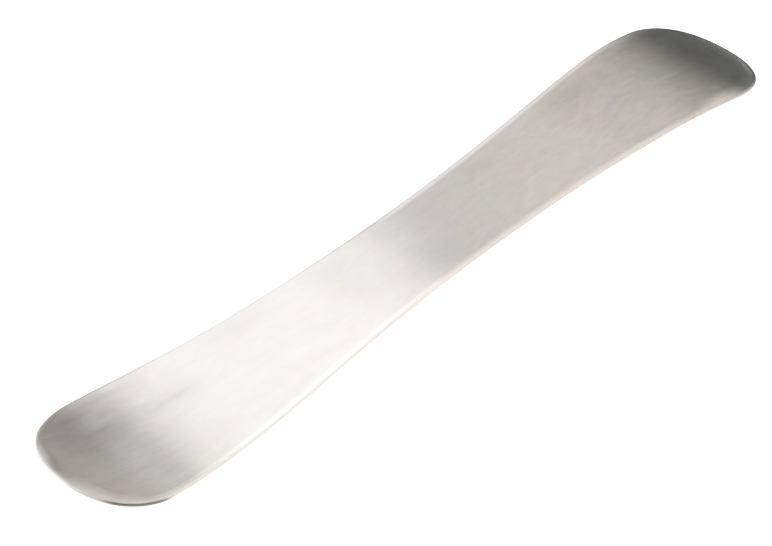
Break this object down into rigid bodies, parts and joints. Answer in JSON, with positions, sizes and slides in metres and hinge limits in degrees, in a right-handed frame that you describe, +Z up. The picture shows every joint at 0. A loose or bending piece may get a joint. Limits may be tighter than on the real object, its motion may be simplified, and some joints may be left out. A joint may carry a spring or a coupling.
{
  "type": "lab spatula",
  "caption": "One-piece double-ended lab spatula: a waisted flat metal strip with wide rounded blades, one curled up and the other curled down.",
  "frame": {"origin": "middle of the footprint, at the height of the surface it lies on", "axes": "+X along the strip towards the end that curls down, +Z up as it lies at rest, +Y across the strip"},
  "size_m": [0.1486, 0.0244, 0.006],
  "materials": {
    "steel": "fine lengthwise brushed stainless steel with polished, rounded rims"
  },
  "bodies": {
    "root": {"spatula": "steel"}
  },
  "joints": []
}
